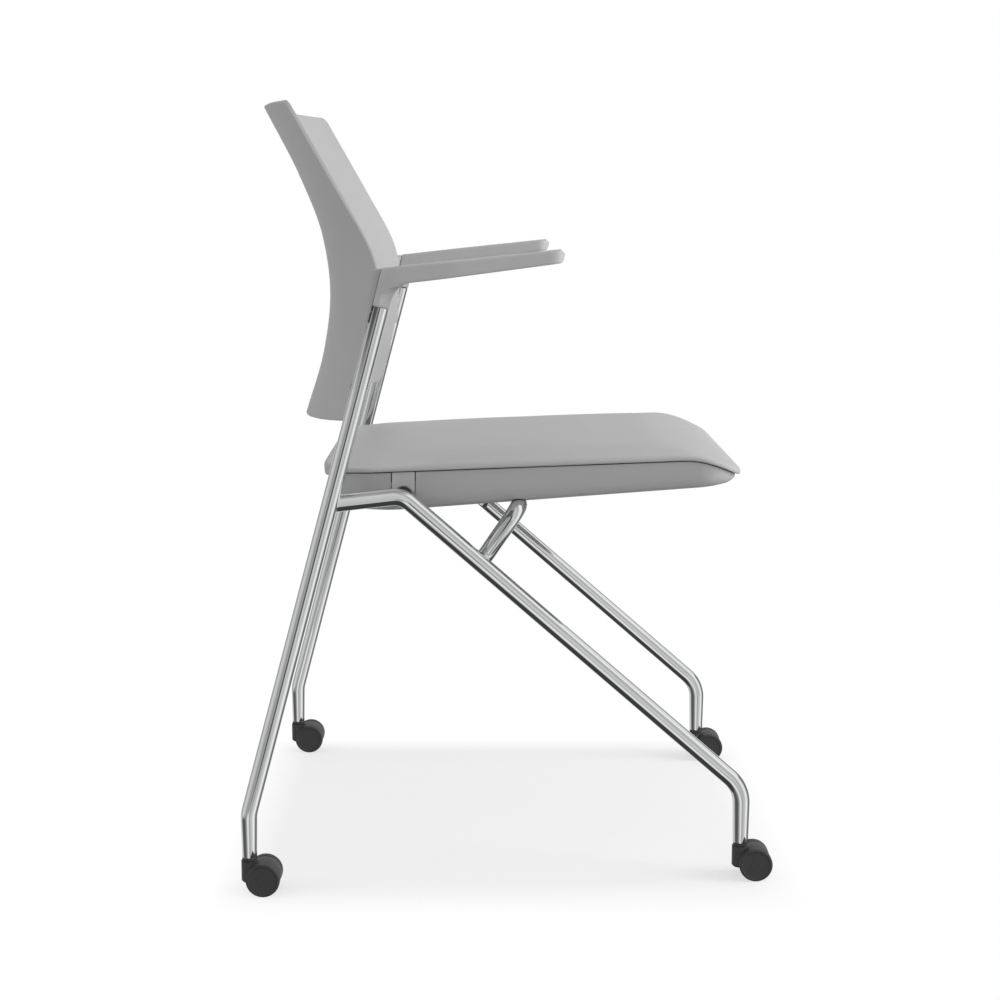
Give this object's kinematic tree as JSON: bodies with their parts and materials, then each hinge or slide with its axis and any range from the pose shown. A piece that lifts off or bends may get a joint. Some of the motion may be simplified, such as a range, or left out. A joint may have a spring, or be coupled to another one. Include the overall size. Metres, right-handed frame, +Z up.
{
  "type": "nesting chair",
  "caption": "Nesting chair on casters: bent chromed tube frame, one-piece plastic back shell, flared arms and a padded seat that tips up so chairs nest.",
  "frame": {"origin": "centre of the chair's footprint, on the floor", "axes": "+X towards the front of the chair, +Y to the sitter's left, +Z up"},
  "size_m": [0.5922, 0.6088, 0.8625],
  "materials": {
    "chrome_tube": "polished chrome plate on steel tube",
    "zinc": "bright zinc plate",
    "grey_plastic": "moulded, finely grained",
    "dark_plastic": "moulded, satin",
    "wheel_plastic": "moulded, satin",
    "black_rubber": "matt",
    "upholstery": "coated upholstery fabric, lightly grained",
    "plywood": "bare"
  },
  "bodies": {
    "frame": {"rear_leg_right": "chrome_tube", "front_leg_right": "chrome_tube", "arm_right": "grey_plastic", "back_screw_right": "zinc", "pivot_stud_right": "zinc", "pivot_clip_right": "zinc", "crossbar_rest_right": "black_rubber", "rear_leg_left": "chrome_tube", "front_leg_left": "chrome_tube", "arm_left": "grey_plastic", "back_screw_left": "zinc", "pivot_stud_left": "zinc", "pivot_clip_left": "zinc", "crossbar_rest_left": "black_rubber", "crossbar": "chrome_tube", "back_shell": "grey_plastic", "caster_insert_rear_right": "dark_plastic", "caster_stem_rear_right": "zinc", "caster_insert_rear_left": "dark_plastic", "caster_stem_rear_left": "zinc", "caster_insert_front_right": "dark_plastic", "caster_stem_front_right": "zinc", "caster_insert_front_left": "dark_plastic", "caster_stem_front_left": "zinc"},
    "seat": {"seat_pan": "grey_plastic", "seat_board": "plywood", "seat_cushion": "upholstery", "pivot_bush_right": "dark_plastic", "pivot_bush_left": "dark_plastic", "pivot_cover_right": "grey_plastic", "pivot_cover_left": "grey_plastic"},
    "caster_rear_right": {"caster_hood_rear_right": "dark_plastic", "caster_axle_rear_right": "zinc"},
    "wheel_rear_right_right": {"caster_wheel_rear_right_right": "wheel_plastic"},
    "wheel_rear_right_left": {"caster_wheel_rear_right_left": "wheel_plastic"},
    "caster_rear_left": {"caster_hood_rear_left": "dark_plastic", "caster_axle_rear_left": "zinc"},
    "wheel_rear_left_right": {"caster_wheel_rear_left_right": "wheel_plastic"},
    "wheel_rear_left_left": {"caster_wheel_rear_left_left": "wheel_plastic"},
    "caster_front_right": {"caster_hood_front_right": "dark_plastic", "caster_axle_front_right": "zinc"},
    "wheel_front_right_right": {"caster_wheel_front_right_right": "wheel_plastic"},
    "wheel_front_right_left": {"caster_wheel_front_right_left": "wheel_plastic"},
    "caster_front_left": {"caster_hood_front_left": "dark_plastic", "caster_axle_front_left": "zinc"},
    "wheel_front_left_right": {"caster_wheel_front_left_right": "wheel_plastic"},
    "wheel_front_left_left": {"caster_wheel_front_left_left": "wheel_plastic"}
  },
  "joints": [
    {"name": "seat_tip", "type": "hinge", "parent": "frame", "child": "seat", "pos_m": [-0.11689, 0, 0.4337], "axis": [0, -1, 0], "range_deg": [0, 86]},
    {"name": "swivel_rear_right", "type": "hinge", "parent": "frame", "child": "caster_rear_right", "pos_m": [-0.28689, -0.284, 0.0363], "axis": [0, 0, 1], "continuous": true},
    {"name": "roll_rear_right_right", "type": "hinge", "parent": "caster_rear_right", "child": "wheel_rear_right_right", "pos_m": [-0.27109, -0.2999, 0.0187], "axis": [0, 1, 0], "continuous": true},
    {"name": "roll_rear_right_left", "type": "hinge", "parent": "caster_rear_right", "child": "wheel_rear_right_left", "pos_m": [-0.27109, -0.2681, 0.0187], "axis": [0, 1, 0], "continuous": true},
    {"name": "swivel_rear_left", "type": "hinge", "parent": "frame", "child": "caster_rear_left", "pos_m": [-0.28689, 0.284, 0.0363], "axis": [0, 0, 1], "continuous": true},
    {"name": "roll_rear_left_right", "type": "hinge", "parent": "caster_rear_left", "child": "wheel_rear_left_right", "pos_m": [-0.27109, 0.2681, 0.0187], "axis": [0, 1, 0], "continuous": true},
    {"name": "roll_rear_left_left", "type": "hinge", "parent": "caster_rear_left", "child": "wheel_rear_left_left", "pos_m": [-0.27109, 0.2999, 0.0187], "axis": [0, 1, 0], "continuous": true},
    {"name": "swivel_front_right", "type": "hinge", "parent": "frame", "child": "caster_front_right", "pos_m": [0.26161, -0.2372, 0.0363], "axis": [0, 0, 1], "continuous": true},
    {"name": "roll_front_right_right", "type": "hinge", "parent": "caster_front_right", "child": "wheel_front_right_right", "pos_m": [0.27741, -0.2531, 0.0187], "axis": [0, 1, 0], "continuous": true},
    {"name": "roll_front_right_left", "type": "hinge", "parent": "caster_front_right", "child": "wheel_front_right_left", "pos_m": [0.27741, -0.2213, 0.0187], "axis": [0, 1, 0], "continuous": true},
    {"name": "swivel_front_left", "type": "hinge", "parent": "frame", "child": "caster_front_left", "pos_m": [0.26161, 0.2372, 0.0363], "axis": [0, 0, 1], "continuous": true},
    {"name": "roll_front_left_right", "type": "hinge", "parent": "caster_front_left", "child": "wheel_front_left_right", "pos_m": [0.27741, 0.2213, 0.0187], "axis": [0, 1, 0], "continuous": true},
    {"name": "roll_front_left_left", "type": "hinge", "parent": "caster_front_left", "child": "wheel_front_left_left", "pos_m": [0.27741, 0.2531, 0.0187], "axis": [0, 1, 0], "continuous": true}
  ]
}
